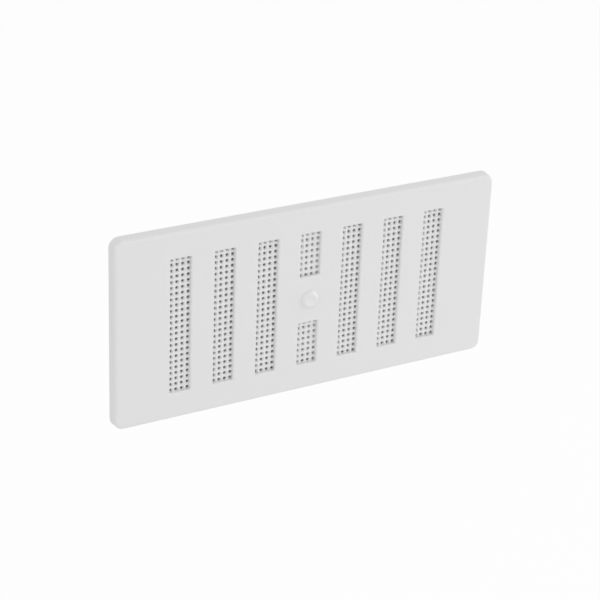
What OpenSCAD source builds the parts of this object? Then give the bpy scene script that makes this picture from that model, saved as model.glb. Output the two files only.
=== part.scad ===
// Hit and miss wall vent: a snap-on cover with eight fly-screened windows, and
// a slotted shutter that a quarter-turn knob shifts by half a window pitch.
//
// Every piece is drawn lying on the wall: X is the width, Y the height and Z the
// distance from the wall plane. stand_up() then turns it into the frame of the
// finished vent, where +X is the width, +Z is up, the vent faces -Y and the
// wall plane is Y = 0. The knob's axis passes through the origin. The shutter is
// drawn closed, with a bar behind every window.

/* [Cover] */
// Width of the cover at the wall
cover_w = 228.4; // [224:0.1:240]
// Height of the cover at the wall
cover_h = 108.8; // [107:0.1:120]
// Depth of the cover from the wall to its face
cover_depth = 6.6; // [6.6:0.1:9]
// Radius of the corners at the wall, seen from the front
corner_r = 5.5; // [5:0.5:12]
// Radius of the rounded front edge
edge_r = 1.7; // [0.5:0.1:2]
// How far each side leans in from the wall to the rounded edge
side_draft = 0.4; // [0:0.1:0.6]
// Thickness of the face
face_t = 2; // [1.8:0.1:2.4]
// Thickness of the rim where it stands on the wall
rim_t = 2.4; // [2:0.1:2.4]

/* [Windows] */
// Distance from one window to the next
window_pitch = 25.4; // [25:0.1:26]
// Width of a window
window_w = 11.8; // [11.4:0.1:12.4]
// Height of a full window
window_h = 77.6; // [76:0.2:78]
// Height of the solid bridge that splits the middle window
bridge_h = 26.2; // [25:0.2:27]
// Radius of the rounded lip round a window
lip_r = 0.9; // [0.4:0.1:1.2]

/* [Fly screens] */
// Thickness of a screen
screen_t = 1; // [0.8:0.1:1]
// Width of a square hole in a screen
mesh_hole = 1.8; // [1.4:0.1:2.2]
// Distance between holes across a screen, and up a full one
mesh_pitch = 3.3; // [3:0.1:3.3]
// Distance between holes up the two short screens
short_mesh_pitch = 3.4; // [3.2:0.1:3.4]
// Rows of holes in a full screen
mesh_rows = 24; // [20:1:24]
// Rows of holes in a short screen
short_mesh_rows = 8; // [6:1:8]
// Holes across a screen
mesh_cols = 4; // [3:1:4]
// How far a screen reaches past its window on every side
screen_lap = 1.6; // [1.2:0.1:1.6]

/* [Shutter] */
// Thickness of the shutter
shutter_t = 1.4; // [1.2:0.1:1.4]
// Distance from the wall plane to the front of the shutter
shutter_front = 0; // [0:0.1:0.8]
// How far a closed bar reaches past its window on each side
bar_lap = 2; // [0.5:0.1:2.2]
// Height of the stiffening rib behind each bar
bar_rib_h = 1.6; // [1:0.1:2]

/* [Knob and crank] */
// Diameter of the knob
knob_d = 10; // [9:0.5:12]
// How far the knob stands out of the face
knob_h = 1.7; // [1.5:0.1:3]
// Depth of the finger dish in the knob
dish_depth = 0.35; // [0.2:0.05:0.5]
// Diameter of the knob's stem
stem_d = 5.9; // [5.8:0.1:5.9]
// Diameter of the bore that the stem turns in
stem_bore_d = 6; // [6:0.1:6]
// Diameter of the crank's pin
crank_pin_d = 2.3; // [2:0.1:2.3]
// Angle that the knob turns through
turn_angle = 90; // [90:1:90]

/* [Back frame] */
// Thickness of the flange that lies on the wall
flange_t = 1.6; // [1.4:0.1:1.6]
// How far the spigot reaches into the wall
spigot_depth = 8; // [6:1:25]
// Wall thickness of the spigot
spigot_t = 1.6; // [1.2:0.1:2]
// Diameter of the four wall screw holes
wall_hole_d = 4.5; // [4:0.1:5]
// Height between the wall screw holes
wall_hole_rise = 72; // [60:1:76]

/* [Hidden] */
$fn = 64;
eps = 0.05;

// Colours of the mouldings and the screw
white_plastic = [0.93, 0.93, 0.93];
shade_plastic = [0.85, 0.85, 0.85];
zinc = [0.72, 0.73, 0.74];

// Gaps between pieces
slide_gap = 0.4;
seat_gap = 0.1;
skirt_gap = 0.3;
crank_gap = 0.5;

// How far a cutting shape reaches past the surface that it opens
cut = 1;

// Levels above the wall plane
boss_h = 0.6;
boss_lap = 0.4;
face_back = cover_depth - face_t;
screen_back = face_back - screen_t;
boss_back = face_back - boss_h;
shutter_back = shutter_front - shutter_t;
crank_back = shutter_front + crank_gap;
crank_arm_t = 1.2;
crank_front = boss_back - seat_gap;

// Windows: the seven places, and the two short windows of the middle place
window_places = [-3, -2, -1, 0, 1, 2, 3];
full_places = [-3, -2, -1, 1, 2, 3];
short_h = (window_h - bridge_h) / 2;
short_y = bridge_h / 2 + short_h / 2;

// Locating ribs round each screen. Those of the full windows reach down to just
// above the shutter, so that a closed bar seals its window.
locating_rib_t = 0.9;
locating_rib_back = screen_back - seat_gap;
skirt_back = shutter_front + skirt_gap;

// Inside of the cover
inner_w = cover_w - 2 * rim_t;
inner_h = cover_h - 2 * rim_t;
inner_r = corner_r - rim_t;

// Stiffening ring behind the face
ring_w = 192;
ring_h = 91;
ring_t = 1.2;

// Shutter: travel, bars, slots and outline
travel = window_pitch / 2;
bar_w = window_w + 2 * bar_lap;
slot_w = window_pitch - bar_w;
end_margin = 5;
edge_margin = 5.3;
bar_rib_t = 1.2;
shutter_left = -3.5 * window_pitch - slot_w / 2 - end_margin;
shutter_right = 3 * window_pitch + bar_w / 2;
shutter_half_h = window_h / 2 + edge_margin;

// Crank: its throw gives the shutter its travel over the knob's turn
crank_throw = travel / (2 * sin(turn_angle / 2));
rest_angle = turn_angle / 2;
crank_hub_r = 4.2;
crank_tip_r = 1.7;
drive_w = 4;
pin_overrun = 0.4;
yoke_w = 3.1;
yoke_gap = 0.4;
yoke_low = crank_throw * cos(rest_angle) - crank_pin_d / 2 - yoke_gap;
yoke_high = crank_throw + crank_pin_d / 2 + yoke_gap;

// Screw that holds the crank on the stem
screw_head_r = 2.3;
screw_head_h = 1.1;
screw_shank_r = 1.1;
screw_pilot_r = 1;
screw_length = 4.4;
screw_tip_gap = 0.3;
screw_path_h = 5.8;

// Friction fingers along the shutter's edges
finger_x = 62;
finger_l = 16;
finger_w = 2.4;
finger_slit = 1;
finger_nib_r = 1.2;
finger_nib_h = 0.3;
finger_nib_inset = 0.4;

// Channel in which the shutter runs
channel_half_h = shutter_half_h + slide_gap;
channel_half_w = 101.5;
ledge_reach = 3.6;
ledge_front = shutter_back - seat_gap;
ledge_t = 1.5;
stop_h = 24;

// Back frame
flange_w = inner_w - 2 * slide_gap;
flange_h = inner_h - 2 * slide_gap;
flange_r = inner_r - slide_gap;
spigot_w = 2 * (channel_half_w + spigot_t);
spigot_h = 2 * (channel_half_h + spigot_t);
wall_hole_x = (spigot_w + flange_w) / 4;

// Guide rails and the pegs that hold them in the flange
rail_l = 196;
rail_t = 1.2;
rail_lip = 2.6;
rail_inset = 0.8;
rail_outer = flange_h / 2 - rail_inset;
rail_inner = channel_half_h - rail_lip;
rail_lead = 0.6;
rail_foot = shutter_front + slide_gap;
rail_foot_gap = 0.2;
peg_r = 1.25;
peg_places = [-75, -25, 25, 75];
peg_y = (channel_half_h + spigot_t + flange_h / 2) / 2;

// Snaps between the cover and the flange
snap_l = 12;
snap_reach = 0.7;
snap_h = 0.6;
snap_low = 0.1;
snap_notch_h = 0.8;
snap_notch_depth = 1.1;
snap_notch_l = snap_l + 2;
snap_places = [-60, 0, 60];

// Turns a piece that is drawn lying on the wall plane upright
module stand_up() {
    rotate([90, 0, 0]) children();
}

// Rectangle with round corners, centred
module rounded_rect(w, h, r) {
    square([w - 2 * r, h], center = true);
    square([w, h - 2 * r], center = true);
    for (sx = [-1, 1], sy = [-1, 1])
        translate([sx * (w / 2 - r), sy * (h / 2 - r)]) circle(r);
}

// Section from the middle of the cover to one side, which leans in from the wall
// and ends in the rounded front edge
module side_section(reach) {
    front = reach - side_draft;
    polygon([
        [0, 0], [reach, 0], [front, cover_depth - edge_r],
        [front - edge_r, cover_depth], [0, cover_depth]
    ]);
    translate([front - edge_r, cover_depth - edge_r]) circle(edge_r);
}

// The same section on both sides of the middle
module full_section(reach) {
    side_section(reach);
    mirror([1, 0]) side_section(reach);
}

// Outer form of the cover, before it is hollowed
module cover_blank() {
    rotate([90, 0, 90])
        linear_extrude(cover_w - 2 * corner_r, center = true) full_section(cover_h / 2);
    rotate([90, 0, 0])
        linear_extrude(cover_h - 2 * corner_r, center = true) full_section(cover_w / 2);
    for (sx = [-1, 1], sy = [-1, 1])
        translate([sx * (cover_w / 2 - corner_r), sy * (cover_h / 2 - corner_r), 0])
            rotate_extrude() side_section(corner_r);
}

// Puts a child at every full window
module at_full_windows() {
    for (i = full_places) translate([i * window_pitch, 0, 0]) children();
}

// Puts a child at both short windows
module at_short_windows() {
    for (s = [-1, 1]) translate([0, s * short_y, 0]) children();
}

// Raised frame behind a window, from the level back to the face, that locates its screen
module locating_frame(h, back) {
    inner = 2 * (screen_lap + seat_gap);
    outer = inner + 2 * locating_rib_t;
    translate([0, 0, back]) linear_extrude(face_back - back + eps) difference() {
        square([window_w + outer, h + outer], center = true);
        square([window_w + inner, h + inner], center = true);
    }
}

// Section from the middle of an opening through the face to one side, with a rounded lip
module opening_section(half) {
    translate([0, face_back - eps]) square([half, face_t + 2 * eps]);
    difference() {
        translate([0, cover_depth - lip_r]) square([half + lip_r, lip_r + eps]);
        translate([half + lip_r, cover_depth - lip_r]) circle(lip_r);
    }
}

// The same section on both sides of the middle, drawn out to a bar of the given length
module opening_bar(half, length) {
    rotate([90, 0, 0]) linear_extrude(length, center = true) {
        opening_section(half);
        mirror([1, 0]) opening_section(half);
    }
}

// Opening of one window, whose lips meet in mitred corners
module window_cut(h) {
    intersection() {
        opening_bar(window_w / 2, h + 4 * lip_r);
        rotate([0, 0, 90]) opening_bar(h / 2, window_w + 4 * lip_r);
    }
}

// Stiffening ring round all the windows, behind the face
module stiffening_ring() {
    translate([0, 0, locating_rib_back]) linear_extrude(face_back - locating_rib_back + eps)
        difference() {
            square([ring_w, ring_h], center = true);
            square([ring_w - 2 * ring_t, ring_h - 2 * ring_t], center = true);
        }
}

// Snap ridge inside the rim, drawn for the upper side
module snap_ridge() {
    translate([-snap_l / 2, inner_h / 2 - snap_reach, snap_low])
        cube([snap_l, snap_reach + eps, snap_h]);
}

module cover() {
    color(white_plastic) stand_up() difference() {
        union() {
            difference() {
                cover_blank();
                translate([0, 0, -cut]) linear_extrude(face_back + cut)
                    rounded_rect(inner_w, inner_h, inner_r);
            }
            at_full_windows() locating_frame(window_h, skirt_back);
            at_short_windows() locating_frame(short_h, locating_rib_back);
            stiffening_ring();
            translate([0, 0, boss_back]) cylinder(r = crank_hub_r + boss_lap, h = boss_h + eps);
            for (x = snap_places, s = [0, 1])
                mirror([0, s, 0]) translate([x, 0, 0]) snap_ridge();
        }
        at_full_windows() window_cut(window_h);
        at_short_windows() window_cut(short_h);
        translate([0, 0, boss_back - cut]) cylinder(d = stem_bore_d, h = cover_depth - boss_back + 2 * cut);
    }
}

// Fly screen: a flat plate with rows of square holes, behind one window
module fly_screen(h, rows, row_pitch) {
    color(white_plastic) translate([0, 0, screen_back]) linear_extrude(screen_t) difference() {
        square([window_w + 2 * screen_lap, h + 2 * screen_lap], center = true);
        for (col = [0 : mesh_cols - 1], row = [0 : rows - 1])
            translate([(col - (mesh_cols - 1) / 2) * mesh_pitch, (row - (rows - 1) / 2) * row_pitch])
                square(mesh_hole, center = true);
    }
}

module full_screen(place) {
    stand_up() translate([place * window_pitch, 0, 0]) fly_screen(window_h, mesh_rows, mesh_pitch);
}

module short_screen(side) {
    stand_up() translate([0, side * short_y, 0])
        fly_screen(short_h, short_mesh_rows, short_mesh_pitch);
}

// Button of the knob: a short cylinder with a rounded front edge
module knob_button() {
    button_edge_r = 0.7;
    button_t = knob_h - seat_gap;
    translate([0, 0, cover_depth + seat_gap]) rotate_extrude() {
        square([knob_d / 2 - button_edge_r, button_t]);
        square([knob_d / 2, button_t - button_edge_r]);
        translate([knob_d / 2 - button_edge_r, button_t - button_edge_r]) circle(button_edge_r);
    }
}

module knob() {
    dish_rim_w = 1.2;
    dish_rim_r = knob_d / 2 - dish_rim_w;
    dish_r = (dish_rim_r * dish_rim_r + dish_depth * dish_depth) / (2 * dish_depth);
    color(white_plastic) stand_up() difference() {
        union() {
            knob_button();
            translate([0, 0, crank_front]) cylinder(d = stem_d, h = cover_depth + knob_h / 2 - crank_front);
            translate([-drive_w / 2, -drive_w / 2, crank_back + seat_gap])
                cube([drive_w, drive_w, crank_front - crank_back]);
        }
        translate([0, 0, cover_depth + knob_h - dish_depth + dish_r]) sphere(dish_r);
        translate([0, 0, crank_back - cut])
            cylinder(r = screw_pilot_r, h = cut + screw_length + screw_tip_gap);
    }
}

// Outline of the crank: a round hub and a round tip joined by tangent flanks
module crank_outline() {
    flank = acos((crank_hub_r - crank_tip_r) / crank_throw);
    circle(crank_hub_r);
    translate([0, crank_throw]) circle(crank_tip_r);
    polygon([
        [-crank_hub_r * sin(flank), crank_hub_r * cos(flank)],
        [crank_hub_r * sin(flank), crank_hub_r * cos(flank)],
        [crank_tip_r * sin(flank), crank_throw + crank_tip_r * cos(flank)],
        [-crank_tip_r * sin(flank), crank_throw + crank_tip_r * cos(flank)]
    ]);
}

module crank() {
    socket_w = drive_w + seat_gap;
    pin_back = shutter_back - pin_overrun;
    color(shade_plastic) stand_up() rotate([0, 0, rest_angle]) difference() {
        union() {
            translate([0, 0, crank_back]) linear_extrude(crank_arm_t) crank_outline();
            translate([0, 0, crank_back]) cylinder(r = crank_hub_r, h = crank_front - crank_back);
            translate([0, crank_throw, pin_back])
                cylinder(d = crank_pin_d, h = crank_back + crank_arm_t / 2 - pin_back);
        }
        rotate([0, 0, -rest_angle]) translate([-socket_w / 2, -socket_w / 2, crank_back - cut])
            cube([socket_w, socket_w, crank_front - crank_back + 2 * cut]);
    }
}

module crank_screw() {
    recess_l = 2.4;
    recess_w = 0.6;
    recess_depth = 0.6;
    head_back = crank_back - screw_head_h;
    color(zinc) stand_up() difference() {
        union() {
            translate([0, 0, head_back]) cylinder(r = screw_head_r, h = screw_head_h);
            translate([0, 0, head_back]) cylinder(r = screw_shank_r, h = screw_head_h + screw_length);
        }
        for (a = [0, 90]) rotate([0, 0, a])
            translate([-recess_l / 2, -recess_w / 2, head_back - cut])
                cube([recess_l, recess_w, recess_depth + cut]);
    }
}

// Slot of the shutter, as high as a window
module shutter_slot(y, h) {
    translate([-slot_w / 2, y - h / 2, shutter_back - cut]) cube([slot_w, h, shutter_t + 2 * cut]);
}

// Slits that free one friction finger, drawn for the upper edge
module finger_slits() {
    finger_root = shutter_half_h - finger_w - finger_slit;
    translate([-finger_l / 2, finger_root, shutter_back - cut])
        cube([finger_l, finger_slit, shutter_t + 2 * cut]);
    translate([finger_l / 2 - finger_slit, finger_root, shutter_back - cut])
        cube([finger_slit, finger_w + finger_slit + cut, shutter_t + 2 * cut]);
}

// Nib near the tip of one friction finger, drawn for the upper edge
module finger_nib() {
    nib_x = finger_l / 2 - finger_slit - finger_nib_r - finger_nib_inset;
    translate([nib_x, shutter_half_h + finger_nib_h - finger_nib_r, shutter_back])
        cylinder(r = finger_nib_r, h = shutter_t);
}

// Puts a child at the four friction fingers
module at_fingers() {
    for (sx = [-1, 1], s = [0, 1]) mirror([0, s, 0]) translate([sx * finger_x, 0, 0]) children();
}

module shutter() {
    yoke_x = -crank_throw * sin(rest_angle);
    color(shade_plastic) stand_up() difference() {
        union() {
            translate([shutter_left, -shutter_half_h, shutter_back])
                cube([shutter_right - shutter_left, 2 * shutter_half_h, shutter_t]);
            for (i = full_places)
                translate([i * window_pitch - bar_rib_t / 2, -window_h / 2, shutter_back - bar_rib_h])
                    cube([bar_rib_t, window_h, bar_rib_h + eps]);
            at_fingers() finger_nib();
        }
        for (i = window_places) translate([(i - 0.5) * window_pitch, 0, 0]) {
            if (i == 0) {
                shutter_slot(short_y, short_h);
                shutter_slot(-short_y, short_h);
            } else {
                shutter_slot(0, window_h);
            }
        }
        translate([yoke_x - yoke_w / 2, yoke_low, shutter_back - cut])
            cube([yoke_w, yoke_high - yoke_low, shutter_t + 2 * cut]);
        translate([-travel - screw_path_h / 2, -screw_path_h / 2, shutter_back - cut])
            cube([travel + screw_path_h, screw_path_h, shutter_t + 2 * cut]);
        at_fingers() finger_slits();
    }
}

// Lip that carries one long edge of the shutter from behind
module shutter_ledge() {
    translate([-channel_half_w, channel_half_h - ledge_reach, ledge_front - ledge_t])
        cube([2 * channel_half_w, ledge_reach + eps, ledge_t]);
}

// End stop between the spigot's end and the shutter, from x to the spigot
module end_stop(x, side) {
    stop_w = channel_half_w - abs(x);
    translate([side > 0 ? x : -channel_half_w - eps, -stop_h / 2, ledge_front - ledge_t])
        cube([stop_w + eps, stop_h, shutter_front - ledge_front + ledge_t]);
}

// Notch under the edge of the flange for one snap ridge, drawn for the upper side
module snap_notch() {
    translate([-snap_notch_l / 2, flange_h / 2 - snap_notch_depth, -cut])
        cube([snap_notch_l, snap_notch_depth + cut, cut + snap_notch_h]);
}

module back_frame() {
    color(white_plastic) stand_up() difference() {
        union() {
            linear_extrude(flange_t) rounded_rect(flange_w, flange_h, flange_r);
            translate([-spigot_w / 2, -spigot_h / 2, -spigot_depth])
                cube([spigot_w, spigot_h, spigot_depth + eps]);
        }
        difference() {
            translate([-channel_half_w, -channel_half_h, -spigot_depth - cut])
                cube([2 * channel_half_w, 2 * channel_half_h, spigot_depth + flange_t + 2 * cut]);
            for (s = [0, 1]) mirror([0, s, 0]) shutter_ledge();
            end_stop(shutter_left - slide_gap, -1);
            end_stop(shutter_right + travel + slide_gap, 1);
        }
        for (sx = [-1, 1], sy = [-1, 1])
            translate([sx * wall_hole_x, sy * wall_hole_rise / 2, -cut])
                cylinder(d = wall_hole_d, h = flange_t + 2 * cut);
        for (x = peg_places, s = [-1, 1])
            translate([x, s * peg_y, -cut]) cylinder(r = peg_r, h = flange_t + 2 * cut);
        for (x = snap_places, s = [0, 1])
            mirror([0, s, 0]) translate([x, 0, 0]) snap_notch();
    }
}

// Guide rail: a strip on the flange, whose foot reaches down into the channel and
// keeps the shutter's edge against its ledge
module guide_rail() {
    foot_outer = channel_half_h - rail_foot_gap;
    rotate([90, 0, 90]) linear_extrude(rail_l, center = true)
        polygon([
            [rail_outer, flange_t],
            [rail_outer, flange_t + rail_t - rail_lead],
            [rail_outer - rail_lead, flange_t + rail_t],
            [rail_inner + rail_lead, flange_t + rail_t],
            [rail_inner, flange_t + rail_t - rail_lead],
            [rail_inner, rail_foot],
            [foot_outer, rail_foot],
            [foot_outer, flange_t]
        ]);
    for (x = peg_places)
        translate([x, peg_y, seat_gap]) cylinder(r = peg_r, h = flange_t - seat_gap + rail_t / 2);
}

module upper_rail() {
    color(shade_plastic) stand_up() guide_rail();
}

module lower_rail() {
    color(shade_plastic) stand_up() mirror([0, 1, 0]) guide_rail();
}

cover();
full_screen(-3);  // screen_1
full_screen(-2);  // screen_2
full_screen(-1);  // screen_3
short_screen(1);  // screen_4_upper
short_screen(-1);  // screen_4_lower
full_screen(1);  // screen_5
full_screen(2);  // screen_6
full_screen(3);  // screen_7
knob();
crank();
crank_screw();
shutter();
back_frame();
upper_rail();
lower_rail();
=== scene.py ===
"""Looks of a white hit and miss wall vent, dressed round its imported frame.

Lengths are in metres. X is the width of the vent and Z its height. The room is
on the -Y side. A depth is measured from the wall plane towards the room, so it
is the negative of Y.
"""

import logging
import math
from collections.abc import Sequence
from dataclasses import dataclass, field, replace
from enum import Enum
from itertools import pairwise

import bmesh
import bpy
from mathutils import Matrix, Vector

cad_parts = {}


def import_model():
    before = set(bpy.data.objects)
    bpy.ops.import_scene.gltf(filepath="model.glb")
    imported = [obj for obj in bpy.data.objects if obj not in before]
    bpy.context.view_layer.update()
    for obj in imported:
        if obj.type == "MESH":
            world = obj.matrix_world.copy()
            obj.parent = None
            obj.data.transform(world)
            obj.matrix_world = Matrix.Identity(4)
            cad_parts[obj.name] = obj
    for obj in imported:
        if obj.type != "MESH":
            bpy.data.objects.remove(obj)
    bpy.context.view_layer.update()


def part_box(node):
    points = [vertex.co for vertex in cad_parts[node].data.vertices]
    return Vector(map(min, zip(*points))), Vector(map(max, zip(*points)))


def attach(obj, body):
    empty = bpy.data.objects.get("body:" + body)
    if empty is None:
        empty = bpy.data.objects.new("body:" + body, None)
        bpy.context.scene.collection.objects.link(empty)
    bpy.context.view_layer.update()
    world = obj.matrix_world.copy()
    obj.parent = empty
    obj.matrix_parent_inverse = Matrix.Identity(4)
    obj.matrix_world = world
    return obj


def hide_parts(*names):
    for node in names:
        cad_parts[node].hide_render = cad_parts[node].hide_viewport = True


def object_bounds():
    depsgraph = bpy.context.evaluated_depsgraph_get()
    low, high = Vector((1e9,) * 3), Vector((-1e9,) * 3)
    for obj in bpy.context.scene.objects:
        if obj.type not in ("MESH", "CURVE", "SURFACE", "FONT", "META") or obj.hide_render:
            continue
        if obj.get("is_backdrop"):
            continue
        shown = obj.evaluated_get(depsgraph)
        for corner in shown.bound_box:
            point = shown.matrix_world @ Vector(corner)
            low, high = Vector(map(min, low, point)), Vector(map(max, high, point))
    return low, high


LOG = logging.getLogger("vent")
MM = 0.001

SMALLEST_RADIUS = 0.01 * MM
RING_MERGE = 0.0005 * MM
COPY_MERGE = 0.001 * MM
FIELD_MERGE = 0.002 * MM
FLAT_FACE_WEIGHT = 100
WHITE = (1.0, 1.0, 1.0, 1.0)

# Where a Mix node has its sockets for colours, and a Compare node those for whole numbers.
MIX_FACTOR, MIX_FIRST, MIX_SECOND, MIX_RESULT = 0, 6, 7, 2
COMPARE_FIRST, COMPARE_SECOND = 2, 3

Ring = list[bmesh.types.BMVert]
Section = list[tuple[float, float]]


class Body(Enum):
    """Bodies of the frame that the pieces ride on."""

    HOUSING = "housing"
    SHUTTER = "shutter"
    CONTROL = "control"


class Slot(Enum):
    """Material slots that the finishes are keyed by."""

    COVER = "cover"
    SCREEN = "screen"
    KNOB = "knob"
    CRANK = "crank"
    SCREW = "screw"
    SHUTTER = "shutter"
    FRAME = "frame"
    RAIL = "rail"


@dataclass(frozen=True)
class RoundedRect:
    """Outline of a rectangle with round corners, seen from the room."""

    width: float
    height: float
    radius: float
    x: float = 0.0
    z: float = 0.0
    corner_steps: int = 8

    def points(self, inset: float) -> list[tuple[float, float]]:
        """Gives the outline's points.

        Args:
            inset: How far the outline moves inwards. A negative value makes it larger.

        Returns:
            The (x, z) points, anticlockwise from the upper end of the right edge.
        """
        radius = max(self.radius - inset, SMALLEST_RADIUS)
        half_x = self.width / 2 - inset - radius
        half_z = self.height / 2 - inset - radius
        found = []
        for quarter, (sx, sz) in enumerate(((1, 1), (-1, 1), (-1, -1), (1, -1))):
            for step in range(self.corner_steps + 1):
                angle = math.radians(90 * (quarter + step / self.corner_steps))
                x = self.x + sx * half_x + radius * math.cos(angle)
                z = self.z + sz * half_z + radius * math.sin(angle)
                found.append((x, z))
        return found


@dataclass(frozen=True)
class Circle:
    """Round outline about the knob's axis, seen from the room."""

    radius: float
    steps: int

    def points(self, inset: float) -> list[tuple[float, float]]:
        """Gives the outline's points.

        Args:
            inset: How far the outline moves inwards.

        Returns:
            The (x, z) points, anticlockwise from the right.
        """
        radius = self.radius - inset
        angles = (2 * math.pi * step / self.steps for step in range(self.steps))
        return [(radius * math.cos(a), radius * math.sin(a)) for a in angles]


Outline = RoundedRect | Circle


def arc(
    centre: tuple[float, float], radius: float, start: float, end: float, steps: int
) -> Section:
    """Gives the points of an arc in a section.

    Args:
        centre: The arc's centre as (inset, depth).
        radius: The arc's radius.
        start: The first point's angle in degrees, from the inset direction towards the depth.
        end: The last point's angle in degrees.
        steps: How many straight steps the arc has.

    Returns:
        The arc's (inset, depth) points, both ends included.
    """
    angles = (math.radians(start + (end - start) * step / steps) for step in range(steps + 1))
    return [(centre[0] + radius * math.cos(a), centre[1] + radius * math.sin(a)) for a in angles]


class LoopMesh:
    """A mesh that grows from outlines at given depths."""

    def __init__(self) -> None:
        """Starts with an empty mesh."""
        self.mesh = bmesh.new()

    def ring(self, outline: Outline, inset: float, depth: float) -> Ring:
        """Adds the outline's points at a depth and gives their vertices."""
        return [self.mesh.verts.new((x, -depth, z)) for x, z in outline.points(inset)]

    def bridge(self, first: Ring, second: Ring) -> None:
        """Joins two rings with quads.

        Args:
            first: The one ring.
            second: The other ring, of the same length.
        """
        for i in range(len(first)):
            j = (i + 1) % len(first)
            self.mesh.faces.new((first[i], first[j], second[j], second[i]))

    def band(self, outline: Outline, section: Section) -> tuple[Ring, Ring]:
        """Carries a section round an outline.

        Args:
            outline: The outline that the section follows.
            section: The section's (inset, depth) points.

        Returns:
            The first and the last ring.
        """
        rings = [self.ring(outline, inset, depth) for inset, depth in section]
        for first, second in pairwise(rings):
            self.bridge(first, second)
        return rings[0], rings[-1]

    def closed_band(self, outline: Outline, section: Section) -> None:
        """Carries a section round an outline and joins its two ends."""
        first, last = self.band(outline, section)
        self.bridge(last, first)

    def plug(self, outline: Outline, section: Section) -> None:
        """Carries a section round an outline and closes both its ends.

        Args:
            outline: The outline that the section follows.
            section: The section's (inset, depth) points.
        """
        first, last = self.band(outline, section)
        self.pole(first, section[0][1])
        self.pole(last, section[-1][1])

    def fill(self, rings: Sequence[Ring]) -> None:
        """Closes the flat stretch between an outer ring and the rings of its openings.

        Args:
            rings: The rings, all at one depth.
        """
        edges = []
        for ring in rings:
            for i, vert in enumerate(ring):
                pair = (vert, ring[(i + 1) % len(ring)])
                edges.append(self.mesh.edges.get(pair) or self.mesh.edges.new(pair))
        bmesh.ops.triangle_fill(self.mesh, use_beauty=True, edges=edges, normal=(0, -1, 0))

    def pole(self, ring: Ring, depth: float) -> None:
        """Closes a ring with a fan round its middle.

        Args:
            ring: The ring.
            depth: The depth of the fan's tip.
        """
        middle = sum((vert.co for vert in ring), Vector()) / len(ring)
        tip = self.mesh.verts.new((middle.x, -depth, middle.z))
        for i, vert in enumerate(ring):
            self.mesh.faces.new((vert, ring[(i + 1) % len(ring)], tip))

    def to_object(self, name: str) -> bpy.types.Object:
        """Ends the mesh, with its faces outwards.

        Args:
            name: The new object's name.

        Returns:
            The object, which is in the scene.
        """
        bmesh.ops.remove_doubles(self.mesh, verts=self.mesh.verts, dist=RING_MERGE)
        bmesh.ops.recalc_face_normals(self.mesh, faces=self.mesh.faces)
        return object_of(self.mesh, name)


def new_object(name: str, data: bpy.types.Mesh) -> bpy.types.Object:
    """Puts a new object in the scene.

    Args:
        name: The object's name.
        data: The object's mesh.

    Returns:
        The object.
    """
    made = bpy.data.objects.new(name, data)
    bpy.context.scene.collection.objects.link(made)
    return made


def object_of(mesh: bmesh.types.BMesh, name: str) -> bpy.types.Object:
    """Gives a finished mesh an object in the scene.

    Args:
        mesh: The mesh, which is freed.
        name: The object's name.

    Returns:
        The object.
    """
    data = bpy.data.meshes.new(name)
    mesh.to_mesh(data)
    mesh.free()
    return new_object(name, data)


def bake_modifiers(piece: bpy.types.Object) -> None:
    """Makes what the modifiers give the piece's own plain mesh and removes them.

    Args:
        piece: The piece.
    """
    graph = bpy.context.evaluated_depsgraph_get()
    data = bpy.data.meshes.new_from_object(
        piece.evaluated_get(graph), preserve_all_data_layers=True, depsgraph=graph
    )
    piece.modifiers.clear()
    piece.data = data


def joined(name: str, parts: Sequence[bpy.types.Object]) -> bpy.types.Object:
    """Puts the meshes of several objects into one new object.

    Args:
        name: The new object's name.
        parts: The objects, which are removed.

    Returns:
        The new object.
    """
    whole = bmesh.new()
    for part in parts:
        whole.from_mesh(part.data)
        bpy.data.objects.remove(part)
    return object_of(whole, name)


def face_outwards(piece: bpy.types.Object) -> None:
    """Turns all faces of a closed piece outwards.

    Args:
        piece: The piece.
    """
    mesh = bmesh.new()
    mesh.from_mesh(piece.data)
    bmesh.ops.recalc_face_normals(mesh, faces=mesh.faces)
    mesh.to_mesh(piece.data)
    mesh.free()


def shade(piece: bpy.types.Object, sharp_angle: float, weighted: bool = True) -> None:
    """Shades a piece smooth up to an angle.

    Args:
        piece: The piece, whose mesh is final.
        sharp_angle: The angle in degrees above which an edge stays sharp.
        weighted: True where large flat faces have to look flat up to a rounded edge.
    """
    piece.data.shade_smooth()
    piece.data.set_sharp_from_angle(angle=math.radians(sharp_angle))
    if weighted:
        normals = piece.modifiers.new("Flat faces", "WEIGHTED_NORMAL")
        normals.keep_sharp = True
        normals.weight = FLAT_FACE_WEIGHT
        bake_modifiers(piece)


def maths(
    tree: bpy.types.NodeTree, operation: str, *terms: bpy.types.NodeSocket | float
) -> bpy.types.NodeSocket:
    """Adds a maths node to a tree.

    Args:
        tree: The tree.
        operation: The node's operation.
        *terms: What the node works on, each a socket or a plain number.

    Returns:
        The socket of the result.
    """
    step = tree.nodes.new("ShaderNodeMath")
    step.operation = operation
    for socket, term in zip(step.inputs, terms):
        if isinstance(term, bpy.types.NodeSocket):
            tree.links.new(term, socket)
        else:
            socket.default_value = term
    return step.outputs[0]


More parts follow.
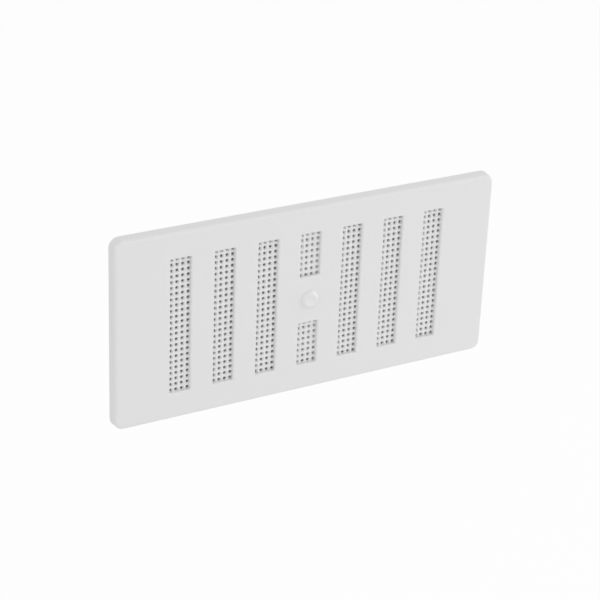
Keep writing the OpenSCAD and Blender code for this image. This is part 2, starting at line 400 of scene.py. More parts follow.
@dataclass
class SurfaceGroups:
    """Shader node groups that the finishes share, each built once."""

    flow_detail: float = 3.0
    flow_roughness: float = 0.55
    sheen_scale: float = 90.0
    sheen_detail: float = 2.0
    sheen_middle: float = 0.5
    grain_detail: float = 2.0
    wave_distance: float = 1.0 * MM
    grain_distance: float = 0.05 * MM

    def __post_init__(self) -> None:
        """Builds the groups."""
        self.moulded = self._moulded_surface()

    def _moulded_surface(self) -> bpy.types.ShaderNodeTree:
        """Builds the group for the skin of a moulding: its tint, sheen and fine grain.

        Returns:
            The group, with Colour, Roughness and Normal as its outputs.
        """
        group = bpy.data.node_groups.new("Moulded surface", "ShaderNodeTree")
        for way, name, kind in (
            ("INPUT", "Colour", "NodeSocketColor"),
            ("INPUT", "Shade", "NodeSocketColor"),
            ("INPUT", "Shade Amount", "NodeSocketFloat"),
            ("INPUT", "Flow Scale", "NodeSocketFloat"),
            ("INPUT", "Roughness", "NodeSocketFloat"),
            ("INPUT", "Roughness Spread", "NodeSocketFloat"),
            ("INPUT", "Grain Scale", "NodeSocketFloat"),
            ("INPUT", "Grain Height", "NodeSocketFloat"),
            ("INPUT", "Wave Height", "NodeSocketFloat"),
            ("OUTPUT", "Colour", "NodeSocketColor"),
            ("OUTPUT", "Roughness", "NodeSocketFloat"),
            ("OUTPUT", "Normal", "NodeSocketVector"),
        ):
            group.interface.new_socket(name, in_out=way, socket_type=kind)
        nodes, links = group.nodes, group.links
        given = nodes.new("NodeGroupInput")
        result = nodes.new("NodeGroupOutput")
        place = nodes.new("ShaderNodeTexCoord")
        flow, sheen, grain = (nodes.new("ShaderNodeTexNoise") for _ in range(3))
        for noise, detail in (
            (flow, self.flow_detail),
            (sheen, self.sheen_detail),
            (grain, self.grain_detail),
        ):
            noise.inputs["Detail"].default_value = detail
            links.new(place.outputs["Object"], noise.inputs["Vector"])
        flow.inputs["Roughness"].default_value = self.flow_roughness
        sheen.inputs["Scale"].default_value = self.sheen_scale
        links.new(given.outputs["Flow Scale"], flow.inputs["Scale"])
        links.new(given.outputs["Grain Scale"], grain.inputs["Scale"])

        mixed = nodes.new("ShaderNodeMix")
        mixed.data_type = "RGBA"
        tint = maths(group, "MULTIPLY", flow.outputs["Fac"], given.outputs["Shade Amount"])
        links.new(tint, mixed.inputs[MIX_FACTOR])
        links.new(given.outputs["Colour"], mixed.inputs[MIX_FIRST])
        links.new(given.outputs["Shade"], mixed.inputs[MIX_SECOND])
        links.new(mixed.outputs[MIX_RESULT], result.inputs["Colour"])

        centred = maths(group, "SUBTRACT", sheen.outputs["Fac"], self.sheen_middle)
        roughness = maths(
            group,
            "MULTIPLY_ADD",
            centred,
            given.outputs["Roughness Spread"],
            given.outputs["Roughness"],
        )
        links.new(roughness, result.inputs["Roughness"])

        wave, fine = (nodes.new("ShaderNodeBump") for _ in range(2))
        for bump, distance, strength, height in (
            (wave, self.wave_distance, "Wave Height", flow),
            (fine, self.grain_distance, "Grain Height", grain),
        ):
            bump.inputs["Distance"].default_value = distance
            links.new(given.outputs[strength], bump.inputs["Strength"])
            links.new(height.outputs["Fac"], bump.inputs["Height"])
        links.new(wave.outputs["Normal"], fine.inputs["Normal"])
        links.new(fine.outputs["Normal"], result.inputs["Normal"])
        return group


@dataclass(frozen=True)
class Finish:
    """Finish of a moulded or plated piece."""

    name: str
    colour: tuple[float, float, float]
    shade: tuple[float, float, float]
    shade_amount: float = 0.12
    flow_scale: float = 22.0
    roughness: float = 0.42
    roughness_spread: float = 0.12
    grain_scale: float = 2600.0
    grain_height: float = 0.25
    wave_height: float = 0.05
    metallic: float = 0.0
    ior: float = 1.49

    def material(self, groups: SurfaceGroups) -> bpy.types.Material:
        """Builds the finish as a material.

        Args:
            groups: The shader groups that the finishes share.

        Returns:
            The material.
        """
        made = bpy.data.materials.new(self.name)
        made.use_nodes = True
        nodes, links = made.node_tree.nodes, made.node_tree.links
        surface = nodes["Principled BSDF"]
        surface.inputs["Metallic"].default_value = self.metallic
        surface.inputs["IOR"].default_value = self.ior
        skin = nodes.new("ShaderNodeGroup")
        skin.node_tree = groups.moulded
        for name, value in (
            ("Colour", (*self.colour, 1.0)),
            ("Shade", (*self.shade, 1.0)),
            ("Shade Amount", self.shade_amount),
            ("Flow Scale", self.flow_scale),
            ("Roughness", self.roughness),
            ("Roughness Spread", self.roughness_spread),
            ("Grain Scale", self.grain_scale),
            ("Grain Height", self.grain_height),
            ("Wave Height", self.wave_height),
        ):
            skin.inputs[name].default_value = value
        links.new(skin.outputs["Colour"], surface.inputs["Base Color"])
        links.new(skin.outputs["Roughness"], surface.inputs["Roughness"])
        links.new(skin.outputs["Normal"], surface.inputs["Normal"])
        return made


class Palette:
    """The vent's finishes as materials."""

    FINISHES: dict[Slot, Finish] = {
        Slot.COVER: Finish("Satin white face", (0.80, 0.80, 0.80), (0.76, 0.76, 0.76)),
        Slot.SCREEN: Finish(
            "White moulded mesh",
            (0.82, 0.82, 0.82),
            (0.79, 0.79, 0.79),
            roughness=0.5,
            grain_height=0.15,
        ),
        Slot.KNOB: Finish(
            "Satin white button", (0.80, 0.80, 0.80), (0.77, 0.77, 0.77), roughness=0.3
        ),
        Slot.CRANK: Finish(
            "Natural nylon", (0.72, 0.72, 0.70), (0.66, 0.66, 0.63), roughness=0.5
        ),
        Slot.SCREW: Finish(
            "Zinc plate",
            (0.62, 0.63, 0.64),
            (0.50, 0.51, 0.53),
            shade_amount=0.5,
            flow_scale=400.0,
            roughness=0.32,
            metallic=1.0,
        ),
        # The shutter's colour and shade are darker than the other whites. The shutter is white
        # plastic, and the extra darkening is painted shade for the dim cavity seen through the
        # mesh holes.
        Slot.SHUTTER: Finish(
            "Matt white shutter", (0.64, 0.64, 0.64), (0.60, 0.60, 0.60), roughness=0.55
        ),
        Slot.FRAME: Finish(
            "Matt white frame", (0.78, 0.78, 0.78), (0.72, 0.72, 0.72), roughness=0.52
        ),
        Slot.RAIL: Finish(
            "Natural slippery rail", (0.72, 0.72, 0.70), (0.67, 0.67, 0.64), roughness=0.46
        ),
    }

    def __init__(self) -> None:
        """Builds a material for each finish."""
        groups = SurfaceGroups()
        self.materials = {slot: finish.material(groups) for slot, finish in self.FINISHES.items()}

    def dress(self, piece: bpy.types.Object, slot: Slot) -> None:
        """Gives a whole piece the finish of a slot."""
        piece.data.materials.clear()
        piece.data.materials.append(self.materials[slot])


class GeometryTree:
    """A Geometry Nodes tree with named inputs."""

    def __init__(self, name: str, inputs: dict[str, str]) -> None:
        """Starts the tree.

        Args:
            name: The tree's name.
            inputs: The kind of socket of each named input, besides the geometry.
        """
        self.tree = bpy.data.node_groups.new(name, "GeometryNodeTree")
        sockets = self.tree.interface
        sockets.new_socket("Geometry", in_out="INPUT", socket_type="NodeSocketGeometry")
        self.identifiers = {
            label: sockets.new_socket(label, in_out="INPUT", socket_type=kind).identifier
            for label, kind in inputs.items()
        }
        sockets.new_socket("Geometry", in_out="OUTPUT", socket_type="NodeSocketGeometry")
        self.given = self.tree.nodes.new("NodeGroupInput")
        self.result = self.tree.nodes.new("NodeGroupOutput")

    def node(self, kind: str, **links: bpy.types.NodeSocket) -> bpy.types.Node:
        """Adds a node and links sockets into it.

        Args:
            kind: The node's type.
            **links: The socket that feeds each input, named with underscores for spaces.

        Returns:
            The node.
        """
        made = self.tree.nodes.new(kind)
        for name, source in links.items():
            self.tree.links.new(source, made.inputs[name.replace("_", " ")])
        return made

    def given_socket(self, label: str) -> bpy.types.NodeSocket:
        """Gives the socket of a named input."""
        return self.given.outputs[label]

    def end(self, geometry: bpy.types.NodeSocket) -> None:
        """Gives the geometry its finish and ends the tree with it.

        Args:
            geometry: The socket of the finished geometry.
        """
        dressed = self.node(
            "GeometryNodeSetMaterial", Geometry=geometry, Material=self.given_socket("Finish")
        )
        self.tree.links.new(dressed.outputs["Geometry"], self.result.inputs["Geometry"])

    def apply(self, piece: bpy.types.Object, values: dict[str, object]) -> None:
        """Runs the tree on a piece and keeps the result as its plain mesh.

        Args:
            piece: The piece, whose mesh is the tree's geometry.
            values: The value of each named input.
        """
        modifier = piece.modifiers.new(self.tree.name, "NODES")
        modifier.node_group = self.tree
        for label, value in values.items():
            modifier[self.identifiers[label]] = value
        bake_modifiers(piece)


class Perforator(GeometryTree):
    """Fills a border with a grid of perforated cells, merged into one sheet."""

    def __init__(self) -> None:
        """Builds the tree."""
        super().__init__(
            "Perforated field",
            {
                "Cell": "NodeSocketObject",
                "Columns": "NodeSocketInt",
                "Rows": "NodeSocketInt",
                "Column Pitch": "NodeSocketFloat",
                "Row Pitch": "NodeSocketFloat",
                "Middle": "NodeSocketVector",
                "Finish": "NodeSocketMaterial",
            },
        )
        grid = self.node(
            "GeometryNodeMeshGrid",
            Size_X=self._span("Columns", "Column Pitch"),
            Size_Y=self._span("Rows", "Row Pitch"),
            Vertices_X=self.given_socket("Columns"),
            Vertices_Y=self.given_socket("Rows"),
        )
        upright = self.node(
            "GeometryNodeTransform",
            Geometry=grid.outputs["Mesh"],
            Translation=self.given_socket("Middle"),
        )
        upright.inputs["Rotation"].default_value = (math.radians(90), 0.0, 0.0)
        cell = self.node("GeometryNodeObjectInfo", Object=self.given_socket("Cell"))
        cells = self.node(
            "GeometryNodeInstanceOnPoints",
            Points=upright.outputs["Geometry"],
            Instance=cell.outputs["Geometry"],
        )
        real = self.node("GeometryNodeRealizeInstances", Geometry=cells.outputs["Instances"])
        both = self.node("GeometryNodeJoinGeometry", Geometry=real.outputs["Geometry"])
        self.tree.links.new(self.given_socket("Geometry"), both.inputs["Geometry"])
        merged = self.node("GeometryNodeMergeByDistance", Geometry=both.outputs["Geometry"])
        merged.inputs["Distance"].default_value = FIELD_MERGE
        self.end(merged.outputs["Geometry"])

    def _span(self, count: str, pitch: str) -> bpy.types.NodeSocket:
        """Gives the distance between the first and the last cell.

        Args:
            count: The input that gives the number of cells.
            pitch: The input that gives their pitch.

        Returns:
            The socket of the distance.
        """
        steps = maths(self.tree, "SUBTRACT", self.given_socket(count), 1.0)
        return maths(self.tree, "MULTIPLY", steps, self.given_socket(pitch))


class Repeater(GeometryTree):
    """Repeats a unit along the width, with a place left out where it is asked."""

    def __init__(self) -> None:
        """Builds the tree."""
        super().__init__(
            "Row of units",
            {
                "Unit": "NodeSocketObject",
                "Count": "NodeSocketInt",
                "Start": "NodeSocketVector",
                "Step": "NodeSocketVector",
                "Left Out": "NodeSocketInt",
                "Finish": "NodeSocketMaterial",
            },
        )
        row = self.node(
            "GeometryNodeMeshLine",
            Count=self.given_socket("Count"),
            Start_Location=self.given_socket("Start"),
            Offset=self.given_socket("Step"),
        )
        unit = self.node("GeometryNodeObjectInfo", Object=self.given_socket("Unit"))
        index = self.node("GeometryNodeInputIndex")
        kept = self.node("FunctionNodeCompare")
        kept.data_type = "INT"
        kept.operation = "NOT_EQUAL"
        self.tree.links.new(index.outputs["Index"], kept.inputs[COMPARE_FIRST])
        self.tree.links.new(self.given_socket("Left Out"), kept.inputs[COMPARE_SECOND])
        units = self.node(
            "GeometryNodeInstanceOnPoints",
            Points=row.outputs["Mesh"],
            Selection=kept.outputs["Result"],
            Instance=unit.outputs["Geometry"],
        )
        real = self.node("GeometryNodeRealizeInstances", Geometry=units.outputs["Instances"])
        self.end(real.outputs["Geometry"])


@dataclass
class Workshop:
    """What every sub-assembly is made with: the finishes and the node trees."""

    palette: Palette = field(default_factory=Palette)
    perforator: Perforator = field(default_factory=Perforator)
    repeater: Repeater = field(default_factory=Repeater)

    def repeat(
        self, unit: bpy.types.Object, count: int, step: float, slot: Slot, left_out: int = -1
    ) -> bpy.types.Object:
        """Repeats a unit along the width, centred on the knob's axis.

        Args:
            unit: The unit, which is removed afterwards.
            count: How many places the row has.
            step: The distance between places.
            slot: The slot whose finish the row gets.
            left_out: The index of a place with no unit, or -1.

        Returns:
            The row as one object.
        """
        name = unit.name + "_row"
        row = new_object(name, bpy.data.meshes.new(name))
        self.repeater.apply(
            row,
            {
                "Unit": unit,
                "Count": count,
                "Start": (-step * (count - 1) / 2, 0.0, 0.0),
                "Step": (step, 0.0, 0.0),
                "Left Out": left_out,
                "Finish": self.palette.materials[slot],
            },
        )
        bpy.data.objects.remove(unit)
        return row

    def place(self, piece: bpy.types.Object, body: Body, slot: Slot, *nodes: str) -> None:
        """Dresses a finished piece and sets it on its body in place of its CAD nodes.

        Args:
            piece: The piece, in place at the origin.
            body: The body that carries it.
            slot: The slot of its finish.
            *nodes: The CAD nodes that it replaces.
        """
        self.palette.dress(piece, slot)
        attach(piece, body.value)
        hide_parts(*nodes)
        LOG.info("%s: %d faces, on %s", piece.name, len(piece.data.polygons), body.value)


@dataclass(frozen=True)
class Windows:
    """Places and sizes of the windows in the face."""

    pitch: float = 25.4 * MM
    width: float = 11.8 * MM
    height: float = 77.6 * MM
    bridge: float = 26.2 * MM
    bridge_lap: float = 0.5 * MM
    places: int = 7
    corner_steps: int = 4

    @property
    def middle(self) -> int:
        """Index of the place that the knob's bridge splits."""
        return self.places // 2

    @property
    def short_height(self) -> float:
        """Height of the window above or below the knob, before the bridge laps over it."""
        return (self.height - self.bridge) / 2

    @property
    def short_z(self) -> float:
        """Height of such a window's middle above the knob's axis."""
        return (self.bridge + self.short_height) / 2

    def outlines(self, grow: float, radius: float, shift: float = 0.0) -> list[RoundedRect]:
        """Gives the outlines of all windows.

        Args:
            grow: How much larger the outline is than the window, on every side.
            radius: The radius of the outline's corners.
            shift: How far all outlines move to the right.

        Returns:
            The outlines, from left to right, with the upper short one before the lower.
        """
        found = []
        for place in range(self.places):
            x = (place - self.middle) * self.pitch + shift
            if place == self.middle:
                height = self.short_height - self.bridge_lap
                z = self.short_z + self.bridge_lap / 2
                shapes = [(height, z), (height, -z)]
            else:
                shapes = [(self.height, 0.0)]
            found += [
                RoundedRect(
                    self.width + 2 * grow, height + 2 * grow, radius, x, z, self.corner_steps
                )
                for height, z in shapes
            ]
        return found


@dataclass
class Cover:
    """The moulded cover: face, rim, windows, and the ribs behind the face."""

    shop: Workshop
    windows: Windows
    corner_radius: float = 5.5 * MM
    corner_steps: int = 14
    edge_radius: float = 1.7 * MM
    edge_steps: int = 10
    side_draft: float = 0.4 * MM
    rim: float = 2.4 * MM
    face: float = 2.0 * MM
    window_corner: float = 0.3 * MM
    window_shift: float = -0.3 * MM
    window_lip: float = 0.9 * MM
    lip_steps: int = 8
    window_draft: float = 0.05 * MM
    small_round: float = 0.25 * MM
    small_steps: int = 3
    inner_round: float = 0.8 * MM
    inner_steps: int = 4
    stem_bore: float = 3.0 * MM
    boss_radius: float = 4.6 * MM
    boss_height: float = 0.6 * MM
    bore_steps: int = 48
    rib_height: float = 1.1 * MM
    skirt_height: float = 4.56 * MM
    rib_thickness: float = 0.9 * MM
    rib_round: float = 0.03 * MM
    rib_steps: int = 2
    rib_clearance: float = 1.7 * MM
    ring_width: float = 192.0 * MM
    ring_height: float = 91.0 * MM
    ring_thickness: float = 1.2 * MM
    embed: float = 0.1 * MM
    snap_length: float = 12.0 * MM
    snap_reach: float = 0.7 * MM
    snap_low: float = 0.1 * MM
    snap_height: float = 0.6 * MM
    snap_chamfer: float = 0.15 * MM
    snap_corner: float = 0.2 * MM
    snap_corner_steps: int = 3
    snap_spacing: float = 60.0 * MM
    snap_count: int = 3
    sharp_angle: float = 40.0

    def __post_init__(self) -> None:
        """Takes the outer size from the frame."""
        low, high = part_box("cover")
        self.width = high.x - low.x
        self.height = high.z - low.z
        self.depth = -low.y
        self.face_back = self.depth - self.face

    def _outer_section(self) -> Section:
        """Gives the section of the rim, from the face round the edge to the inside.

        Returns:
            The section's (inset, depth) points.
        """
        edge, small, inner = self.edge_radius, self.small_round, self.inner_round
        edge_centre = (self.side_draft + edge, self.depth - edge)
        inner_centre = (self.rim + inner, self.face_back - inner)
        return [
            *arc(edge_centre, edge, 90, 180, self.edge_steps),
            *arc((small, small), small, 180, 270, self.small_steps),
            *arc((self.rim - small, small), small, 270, 360, self.small_steps),
            *arc(inner_centre, inner, 180, 90, self.inner_steps),
        ]

    def _window_section(self) -> Section:
        """Gives the section of a window's wall, from the face to the back of the face.

        Returns:
            The section's (inset, depth) points.
        """
        lip = self.window_lip
        return [
            *arc((-lip, self.depth - lip), lip, 90, 0, self.lip_steps),
            (self.window_draft, self.face_back),
        ]

    def _shell(self) -> bpy.types.Object:
        """Builds the face and the rim as one closed shell with its openings.

        Returns:
            The shell.
        """
        shell = LoopMesh()
        body = RoundedRect(
            self.width, self.height, self.corner_radius, corner_steps=self.corner_steps
        )
        bore = Circle(self.stem_bore, self.bore_steps)
        bands = [
            shell.band(body, self._outer_section()),
            *(
                shell.band(outline, self._window_section())
                for outline in self.windows.outlines(0.0, self.window_corner, self.window_shift)
            ),
            shell.band(bore, [(0.0, self.depth), (0.0, self.face_back)]),
        ]
        for rings in zip(*bands):
            shell.fill(rings)
        return shell.to_object("cover_shell")

    def _rib_section(self, thickness: float, height: float) -> Section:
        """Gives the closed section of a rib that stands on the back of the face.

        Args:
            thickness: The rib's thickness.
            height: How far the rib reaches back from the face.

        Returns:
            The section's (inset, depth) points.
        """
        tip = self.face_back - height
        root = self.face_back + self.embed
        small = self.rib_round
        return [
            (0.0, root),
            *arc((small, tip + small), small, 180, 270, self.rib_steps),
            *arc((thickness - small, tip + small), small, 270, 360, self.rib_steps),
            (thickness, root),
        ]

    def _locating_frame(self, outline: RoundedRect, height: float) -> bpy.types.Object:
        """Builds the rib that locates the screen of one window.

        Args:
            outline: The rib's outer outline.
            height: How far the rib reaches back from the face.

        Returns:
            The rib.
        """
        rib = LoopMesh()
        rib.closed_band(outline, self._rib_section(self.rib_thickness, height))
        return rib.to_object("locating_frame")

    def _ribs(self) -> list[bpy.types.Object]:
        """Builds the locating frames, the stiffening ring and the boss.

        Returns:
            The ribs, with the frames of the full windows as one object.
        """
        windows = self.windows
        outlines = windows.outlines(self.rib_clearance + self.rib_thickness, self.small_round)
        unit = self._locating_frame(replace(outlines[0], x=0.0), self.skirt_height)
        full = self.shop.repeat(
            unit, windows.places, windows.pitch, Slot.COVER, left_out=windows.middle
        )
        short = [
            self._locating_frame(outline, self.rib_height)
            for outline in outlines[windows.middle : windows.middle + 2]
        ]
        ring = LoopMesh()
        ring.closed_band(
            RoundedRect(self.ring_width, self.ring_height, self.ring_thickness),
            self._rib_section(self.ring_thickness, self.rib_height),
        )
        root, tip = self.face_back + self.embed, self.face_back - self.boss_height
        wall = self.boss_radius - self.stem_bore
        boss = LoopMesh()
        boss.closed_band(
            Circle(self.boss_radius, self.bore_steps),
            [(0.0, root), (0.0, tip), (wall, tip), (wall, root)],
        )
        return [full, *short, ring.to_object("stiffening_ring"), boss.to_object("stem_boss")]

    def _snaps(self) -> list[bpy.types.Object]:
        """Builds the snap ridges inside the upper and the lower rim.

        Returns:
            The two rows of ridges.
        """
        chamfer, low = self.snap_chamfer, self.snap_low
        section = [(chamfer, low), (0.0, low + chamfer), (0.0, low + self.snap_height)]
        middle_z = self.height / 2 - self.rim - self.snap_reach / 2 + self.embed / 2
        rows = []
        for side in (1, -1):
            outline = RoundedRect(
                self.snap_length,
                self.snap_reach + self.embed,
                self.snap_corner,
                z=side * middle_z,
                corner_steps=self.snap_corner_steps,
            )
            ridge = LoopMesh()
            ridge.plug(outline, section)
            unit = ridge.to_object(f"snap_{side}")
            rows.append(self.shop.repeat(unit, self.snap_count, self.snap_spacing, Slot.COVER))
        return rows

    def build(self) -> None:
        """Builds the cover and sets it on the housing."""
        cover = joined("cover_moulding", [self._shell(), *self._ribs(), *self._snaps()])
        shade(cover, self.sharp_angle)
        self.shop.place(cover, Body.HOUSING, Slot.COVER, "cover")


@dataclass(frozen=True)
class Mesh:
    """One field of mesh: how many holes it has and how they are spaced."""

    rows: int
    row_pitch: float
    columns: int = 4
    column_pitch: float = 3.3 * MM


@dataclass
class FlyScreens:
    """The perforated sheets behind the windows."""

    shop: Workshop
    windows: Windows
    full: Mesh = Mesh(24, 3.3 * MM)
    short: Mesh = Mesh(8, 3.4 * MM)
    hole: float = 2.0 * MM
    hole_corner: float = 0.4 * MM
    hole_steps: int = 2
    front_lip: float = 0.2 * MM
    back_lip: float = 0.12 * MM
    draft: float = 0.4 * MM
    edge_round: float = 0.15 * MM
    edge_steps: int = 2
    sharp_angle: float = 50.0

    def _cell(self, mesh: Mesh, thickness: float) -> bpy.types.Object:
        """Builds one cell: a tile of the sheet round its hole, centred on its own middle.

        Args:
            mesh: The field that the cell is for.
            thickness: The sheet's thickness.

        Returns:
            The cell.
        """
        cell = LoopMesh()
        half = thickness / 2
        hole = RoundedRect(self.hole, self.hole, self.hole_corner, corner_steps=self.hole_steps)
        lip, back = self.front_lip, self.back_lip
        section = [
            *arc((-lip, half - lip), lip, 90, 0, self.hole_steps),
            (self.draft, -half + back),
            (self.draft - back, -half),
        ]
        front_ring, back_ring = cell.band(hole, section)
        for ring, depth in ((front_ring, half), (back_ring, -half)):
            corners = [
                cell.mesh.verts.new((sx * mesh.column_pitch / 2, -depth, sz * mesh.row_pitch / 2))
                for sx, sz in ((1, 1), (-1, 1), (-1, -1), (1, -1))
            ]
            cell.fill([corners, ring])
        return cell.to_object("mesh_cell")

    def _border(self, name: str, low: Vector, high: Vector, mesh: Mesh) -> bpy.types.Object:
        """Builds the plain edge of a sheet, open where the field of cells goes.

        Args:
            name: The piece's name.
            low: The lowest corner of the sheet.
            high: The highest corner of the sheet.
            mesh: The field of mesh in the sheet.

        Returns:
            The border.
        """
        border = LoopMesh()
        middle = (low + high) / 2
        front, back, small = -low.y, -high.y, self.edge_round
        outline = RoundedRect(
            high.x - low.x, high.z - low.z, 2 * small, middle.x, middle.z, self.edge_steps
        )
        section = [(small, front), (0.0, front - small), (0.0, back + small), (small, back)]
        outer = border.band(outline, section)
        across = [(i - mesh.columns / 2) * mesh.column_pitch for i in range(mesh.columns + 1)]
        up = [(i - mesh.rows / 2) * mesh.row_pitch for i in range(mesh.rows + 1)]
        path = [(x, up[0]) for x in across[:-1]]
        path += [(across[-1], z) for z in up[:-1]]
        path += [(x, up[-1]) for x in reversed(across[1:])]
        path += [(across[0], z) for z in reversed(up[1:])]
        for ring, depth in zip(outer, (front, back)):
            inner = [border.mesh.verts.new((middle.x + x, -depth, middle.z + z)) for x, z in path]
            border.fill([ring, inner])
        return border.to_object(name)

    def _screen(self, node: str, mesh: Mesh) -> None:
        """Builds one screen and sets it on the housing.

        Args:
            node: The screen's CAD node.
            mesh: The field of mesh in the screen.
        """
        low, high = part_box(node)
        cell = self._cell(mesh, high.y - low.y)
        screen = self._border(node + "_mesh", low, high, mesh)
        self.shop.perforator.apply(
            screen,
            {
                "Cell": cell,
                "Columns": mesh.columns,
                "Rows": mesh.rows,
                "Column Pitch": mesh.column_pitch,
                "Row Pitch": mesh.row_pitch,
                "Middle": tuple((low + high) / 2),
                "Finish": self.shop.palette.materials[Slot.SCREEN],
            },
        )
        bpy.data.objects.remove(cell)
        face_outwards(screen)
        shade(screen, self.sharp_angle, weighted=False)
        self.shop.place(screen, Body.HOUSING, Slot.SCREEN, node)

    def build(self) -> None:
        """Builds all the screens, from left to right."""
        for place in range(self.windows.places):
            node = f"screen_{place + 1}"
            if place == self.windows.middle:
                self._screen(node + "_upper", self.short)
                self._screen(node + "_lower", self.short)
            else:
                self._screen(node, self.full)


@dataclass
class Knob:
    """The round finger button, with its stem and square drive end."""

    shop: Workshop
    flare: float = 0.3 * MM
    dish_rim: float = 3.6 * MM
    dish_depth: float = 0.7 * MM
    dish_power: float = 1.3
    dish_steps: int = 8
    shoulder_power: float = 1.7
    shoulder_steps: int = 10
    foot_height: float = 0.1 * MM
    foot_chamfer: float = 0.1 * MM
    seat_gap: float = 0.03 * MM
    stem_radius: float = 2.95 * MM
    stem_end: float = 3.9 * MM
    stem_chamfer: float = 0.2 * MM
    drive: float = 4.0 * MM
    drive_corner: float = 0.2 * MM
    drive_corner_steps: int = 3
    embed: float = 0.1 * MM
    steps: int = 96
    sharp_angle: float = 40.0

    def __post_init__(self) -> None:
        """Takes the button's size from the frame."""
        low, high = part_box("knob")
        face_low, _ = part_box("cover")
        self.radius = (high.x - low.x) / 2 + self.flare
        self.top = -low.y
        self.base = -face_low.y + self.seat_gap
        self.drive_end = -high.y

    def _section(self) -> Section:
        """Gives the section from the middle of the dish to the end of the stem.

        Returns:
            The section's (radius, depth) points.
        """
        rim, power, foot = self.dish_rim, self.shoulder_power, self.base + self.foot_height
        dish = []
        for step in range(1, self.dish_steps + 1):
            fall = math.cos(math.pi / 2 * step / self.dish_steps) ** self.dish_power
            dish.append((rim * step / self.dish_steps, self.top - self.dish_depth * fall))
        shoulder = []
        for step in range(1, self.shoulder_steps + 1):
            turn = math.pi / 2 * step / self.shoulder_steps
            radius = rim + (self.radius - rim) * math.sin(turn) ** power
            shoulder.append((radius, foot + (self.top - foot) * abs(math.cos(turn)) ** power))
        return [
            *dish,
            *shoulder,
            (self.radius - self.foot_chamfer, self.base),
            (self.stem_radius, self.base),
            (self.stem_radius, self.stem_end + self.stem_chamfer),
            (self.stem_radius - self.stem_chamfer, self.stem_end),
        ]

    def build(self) -> None:
        """Builds the knob and sets it on the control."""
        button = LoopMesh()
        rings = [
            button.ring(Circle(radius, self.steps), 0.0, depth)
            for radius, depth in self._section()
        ]
        for first, second in pairwise(rings):
            button.bridge(first, second)
        button.pole(rings[0], self.top - self.dish_depth)
        button.pole(rings[-1], self.stem_end)
        square = RoundedRect(
            self.drive, self.drive, self.drive_corner, corner_steps=self.drive_corner_steps
        )
        end = LoopMesh()
        end.plug(square, [(0.0, self.stem_end + self.embed), (0.0, self.drive_end)])
        knob = joined("knob_button", [button.to_object("button"), end.to_object("drive_end")])
        shade(knob, self.sharp_angle)
        self.shop.place(knob, Body.CONTROL, Slot.KNOB, "knob")


@dataclass(frozen=True)
class Moulding:
    """A hidden piece: its CAD node, its own name, where it belongs and its edges' radius."""

    node: str
    name: str
    body: Body
    slot: Slot
    edge_radius: float


@dataclass
class HiddenMouldings:
    """The pieces behind the face: their CAD shape with every edge rounded as moulded."""

    shop: Workshop
    flat_angle: float = 1.0
    edge_angle: float = 35.0
    edge_steps: int = 2
    sharp_angle: float = 50.0
    pieces: tuple[Moulding, ...] = (
        Moulding("shutter", "shutter_plate", Body.SHUTTER, Slot.SHUTTER, 0.12 * MM),
        Moulding("back_frame", "back_frame_moulding", Body.HOUSING, Slot.FRAME, 0.25 * MM),
        Moulding("upper_rail", "upper_rail_strip", Body.HOUSING, Slot.RAIL, 0.15 * MM),
        Moulding("lower_rail", "lower_rail_strip", Body.HOUSING, Slot.RAIL, 0.15 * MM),
        Moulding("crank", "crank_arm", Body.CONTROL, Slot.CRANK, 0.15 * MM),
        Moulding("crank_screw", "crank_screw_head", Body.CONTROL, Slot.SCREW, 0.12 * MM),
    )

    def _softened(self, moulding: Moulding) -> bpy.types.Object:
        """Copies a CAD node and rounds its edges.

        Args:
            moulding: The piece.

        Returns:
            The new piece.
        """
        mesh = bmesh.new()
        mesh.from_mesh(bpy.data.objects[moulding.node].data)
        bmesh.ops.remove_doubles(mesh, verts=mesh.verts, dist=COPY_MERGE)
        bmesh.ops.dissolve_limit(
            mesh, angle_limit=math.radians(self.flat_angle), verts=mesh.verts, edges=mesh.edges
        )
        piece = object_of(mesh, moulding.name)
        edges = piece.modifiers.new("Rounded edges", "BEVEL")
        edges.width = moulding.edge_radius
        edges.segments = self.edge_steps
        edges.limit_method = "ANGLE"
        edges.angle_limit = math.radians(self.edge_angle)
        edges.use_clamp_overlap = True
        bake_modifiers(piece)
        shade(piece, self.sharp_angle)
        return piece

    def build(self) -> None:
        """Builds the shutter, the back frame, the rails, the crank and its screw."""
        for piece in self.pieces:
            self.shop.place(self._softened(piece), piece.body, piece.slot, piece.node)


@dataclass(frozen=True)
class Lamp:
    """A square soft lamp that points at the vent."""

    name: str
    place: tuple[float, float, float]
    size: float
    power: float


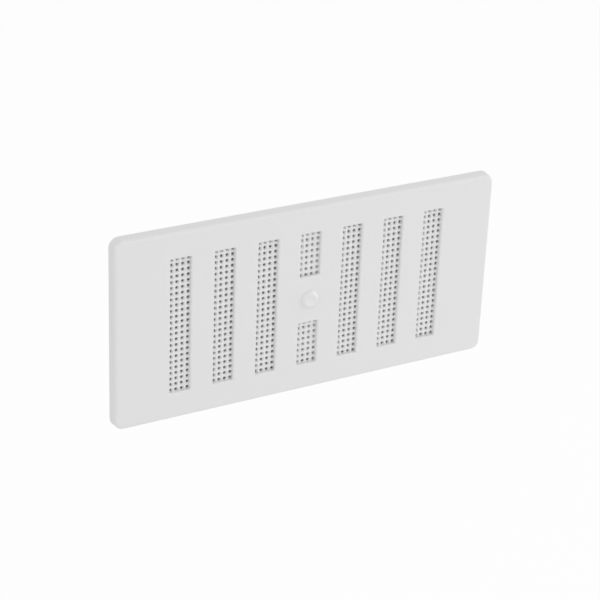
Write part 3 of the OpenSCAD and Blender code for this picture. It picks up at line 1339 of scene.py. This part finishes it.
@dataclass
class Studio:
    """Camera, floor, lamps and surroundings of the photograph."""

    azimuth: float = -29.784
    elevation: float = 26.005
    roll: float = 2.362
    distance: float = 1032.0 * MM
    aim: tuple[float, float, float] = (-4.97 * MM, -4.86 * MM, -0.07 * MM)
    lens: float = 115.5
    sensor: float = 36.0
    floor_drop: float = 150.0 * MM
    floor_size: float = 12.0
    floor_tone: float = 0.9
    floor_roughness: float = 0.9
    floor_white: float = 0.94
    surround: float = 0.675
    white_strength: float = 1.0
    lamps: tuple[Lamp, ...] = (
        Lamp("Front", (0.1, -0.95, -0.02), 0.3, 0.85),
        Lamp("Right", (1.25, -0.35, 0.2), 0.8, 3.95),
        Lamp("Left", (-1.25, -0.5, 0.2), 0.8, 1.5),
        Lamp("Top", (0.0, -0.3, 1.3), 0.8, 1.9),
    )

    def _camera(self) -> None:
        """Sets the camera at the photograph's viewing angle."""
        data = bpy.data.cameras.new("Camera")
        data.lens = self.lens
        data.sensor_width = self.sensor
        camera = bpy.data.objects.new("Camera", data)
        bpy.context.scene.collection.objects.link(camera)
        turn = (
            Matrix.Rotation(math.radians(self.azimuth), 4, "Z")
            @ Matrix.Rotation(math.radians(90 - self.elevation), 4, "X")
            @ Matrix.Rotation(math.radians(self.roll), 4, "Z")
        )
        back = turn.to_3x3() @ Vector((0.0, 0.0, 1.0))
        camera.matrix_world = Matrix.Translation(Vector(self.aim) + back * self.distance) @ turn
        bpy.context.scene.camera = camera

    @staticmethod
    def _seen_directly(tree: bpy.types.NodeTree) -> bpy.types.NodeSocket:
        """Tells the rays that show the background itself from those that light the vent.

        Args:
            tree: The tree that gets the nodes.

        Returns:
            The socket that is 1 for rays from the camera, a mirror or through glass.
        """
        path = tree.nodes.new("ShaderNodeLightPath")
        total = path.outputs["Is Camera Ray"]
        for name in ("Is Glossy Ray", "Is Transmission Ray"):
            total = maths(tree, "MAXIMUM", total, path.outputs[name])
        return total

    def _world(self) -> None:
        """Makes the surroundings: an even soft light that is seen as white."""
        world = bpy.data.worlds.new("Light tent")
        bpy.context.scene.world = world
        world.use_nodes = True
        nodes, links = world.node_tree.nodes, world.node_tree.links
        nodes.clear()
        mixed = nodes.new("ShaderNodeMixShader")
        links.new(self._seen_directly(world.node_tree), mixed.inputs[0])
        for i, strength in enumerate((self.surround, self.white_strength), start=1):
            background = nodes.new("ShaderNodeBackground")
            background.inputs["Color"].default_value = WHITE
            background.inputs["Strength"].default_value = strength
            links.new(background.outputs[0], mixed.inputs[i])
        output = nodes.new("ShaderNodeOutputWorld")
        links.new(mixed.outputs[0], output.inputs["Surface"])

    def _paper(self) -> bpy.types.Material:
        """Builds the floor's material: white paper that takes a faint shadow.

        Returns:
            The material.
        """
        material = bpy.data.materials.new("White paper floor")
        material.use_nodes = True
        tree = material.node_tree
        paper = tree.nodes["Principled BSDF"]
        paper.inputs["Base Color"].default_value = (*[self.floor_tone] * 3, 1.0)
        paper.inputs["Roughness"].default_value = self.floor_roughness
        glow = tree.nodes.new("ShaderNodeEmission")
        glow.inputs["Strength"].default_value = self.white_strength
        share = maths(tree, "MULTIPLY", self._seen_directly(tree), self.floor_white)
        mixed = tree.nodes.new("ShaderNodeMixShader")
        for i, source in enumerate((share, paper.outputs[0], glow.outputs[0])):
            tree.links.new(source, mixed.inputs[i])
        tree.links.new(mixed.outputs[0], tree.nodes["Material Output"].inputs["Surface"])
        return material

    def _floor(self) -> None:
        """Lays the floor below the vent."""
        low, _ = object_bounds()
        mesh = bmesh.new()
        bmesh.ops.create_grid(
            mesh,
            x_segments=1,
            y_segments=1,
            size=self.floor_size,
            matrix=Matrix.Translation((0, 0, low.z - self.floor_drop)),
        )
        floor = object_of(mesh, "floor")
        floor.data.materials.append(self._paper())
        floor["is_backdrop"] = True

    @staticmethod
    def _hang(lamp: Lamp) -> None:
        """Hangs a soft lamp in its place.

        Args:
            lamp: The lamp.
        """
        data = bpy.data.lights.new(lamp.name, "AREA")
        data.shape = "SQUARE"
        data.size = lamp.size
        data.energy = lamp.power
        hung = bpy.data.objects.new(lamp.name, data)
        bpy.context.scene.collection.objects.link(hung)
        place = Vector(lamp.place)
        turn = place.to_track_quat("Z", "Y").to_matrix().to_4x4()
        hung.matrix_world = Matrix.Translation(place) @ turn

    def build(self) -> None:
        """Builds the studio and sets the plain view transform."""
        self._camera()
        self._world()
        self._floor()
        for lamp in self.lamps:
            self._hang(lamp)
        bpy.context.scene.view_settings.view_transform = "Standard"


def corners() -> list[list[float]]:
    """Gives the lowest and the highest corner of what is shown, as plain lists."""
    return [list(corner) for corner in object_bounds()]


def main() -> None:
    """Dresses the vent, piece by piece, and sets up the studio."""
    logging.basicConfig(level=logging.INFO, format="%(name)s %(message)s")
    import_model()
    shop = Workshop()
    windows = Windows()
    Cover(shop, windows).build()
    FlyScreens(shop, windows).build()
    Knob(shop).build()
    HiddenMouldings(shop).build()
    Studio().build()


if __name__ == "__main__":
    main()
